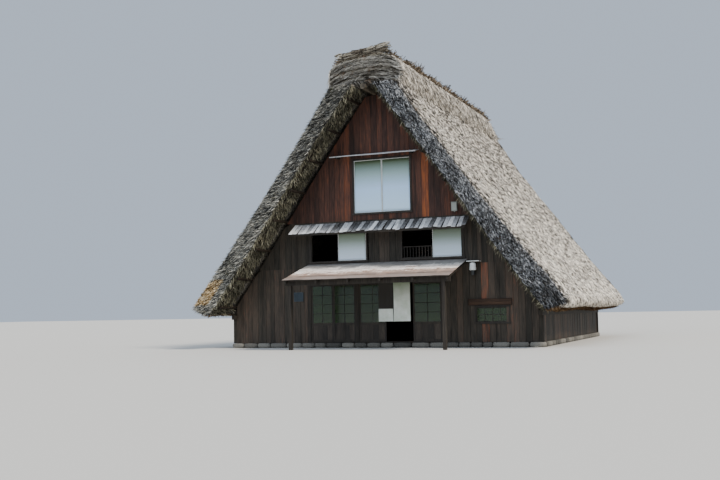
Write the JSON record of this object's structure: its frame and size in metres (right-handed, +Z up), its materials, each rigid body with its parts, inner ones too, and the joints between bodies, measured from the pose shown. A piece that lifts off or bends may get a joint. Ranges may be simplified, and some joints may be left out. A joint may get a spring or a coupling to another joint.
{
  "type": "traditional steep thatched farmhouse",
  "caption": "Timber farmhouse with a steep thatched roof down to low eaves, boarded gable ends, two pent roofs and a sliding entrance door.",
  "frame": {"origin": "on the ground under the middle of the whole outline", "axes": "+Z up, the entrance gable faces -Y, +X to the right as seen by someone facing the entrance, the ridge runs along Y"},
  "size_m": [11.76, 12.82, 9.0787],
  "materials": {
    "thatch": "weathered grey reed thatch",
    "ridge_reed": "layered reed with dry growth",
    "pole": "round poles, smoked brown",
    "frame_timber": "old dark timber",
    "cedar_board": "weathered red-brown boards",
    "dark_board": "dark brown boards",
    "weathered_board": "silver-grey boards",
    "rusted_sheet": "lapped courses of faded paint and rust",
    "paper": "white panel",
    "glazed_panel": "glass in a dark wooden lattice",
    "stone": "grey field stone",
    "floor_board": "worn boards",
    "linen": "undyed cotton",
    "enamel": "white enamel",
    "grey_box": "grey paint"
  },
  "bodies": {
    "house": {"thatch_right": "thatch", "thatch_left": "thatch", "ridge_cap": "ridge_reed", "purlins_right": "pole", "purlins_left": "pole", "ridge_pole": "pole", "rafter_frame_1": "frame_timber", "rafter_frame_2": "frame_timber", "rafter_frame_3": "frame_timber", "rafter_frame_4": "frame_timber", "foundation": "stone", "ground_floor": "floor_board", "second_floor": "floor_board", "third_floor": "floor_board", "right_wall": "dark_board", "left_wall": "dark_board", "wall_plate_right": "frame_timber", "wall_plate_left": "frame_timber", "front_wall_left": "dark_board", "front_wall_right": "dark_board", "front_storey_wall": "dark_board", "front_gable_wall": "cedar_board", "rear_wall": "dark_board", "rear_storey_wall": "dark_board", "rear_gable_wall": "cedar_board", "door_sill": "frame_timber", "door_lintel": "frame_timber", "door_post_left": "frame_timber", "door_post_middle": "frame_timber", "door_post_right": "frame_timber", "glazed_panel_1": "glazed_panel", "glazed_panel_2": "glazed_panel", "glazed_panel_3": "glazed_panel", "glazed_panel_4": "glazed_panel", "storey_panel_left": "paper", "storey_panel_right": "paper", "attic_panel_left": "paper", "attic_panel_right": "paper", "rear_panel_left": "paper", "rear_panel_right": "paper", "rear_panel_attic": "paper", "side_light": "glazed_panel", "lower_pent_roof": "rusted_sheet", "lower_pent_frame": "frame_timber", "upper_pent_roof": "weathered_board", "upper_pent_frame": "frame_timber", "window_hood": "weathered_board", "sign_board": "dark_board", "gable_box": "grey_box", "wall_lamp": "enamel", "curtain_rod": "pole", "curtain_left": "linen", "curtain_right": "linen"},
    "door": {"entrance_door": "glazed_panel"}
  },
  "joints": [
    {"name": "door_slide", "type": "slide", "parent": "house", "child": "door", "axis": [-1, 0, 0], "range_m": [0, 0.88]}
  ]
}
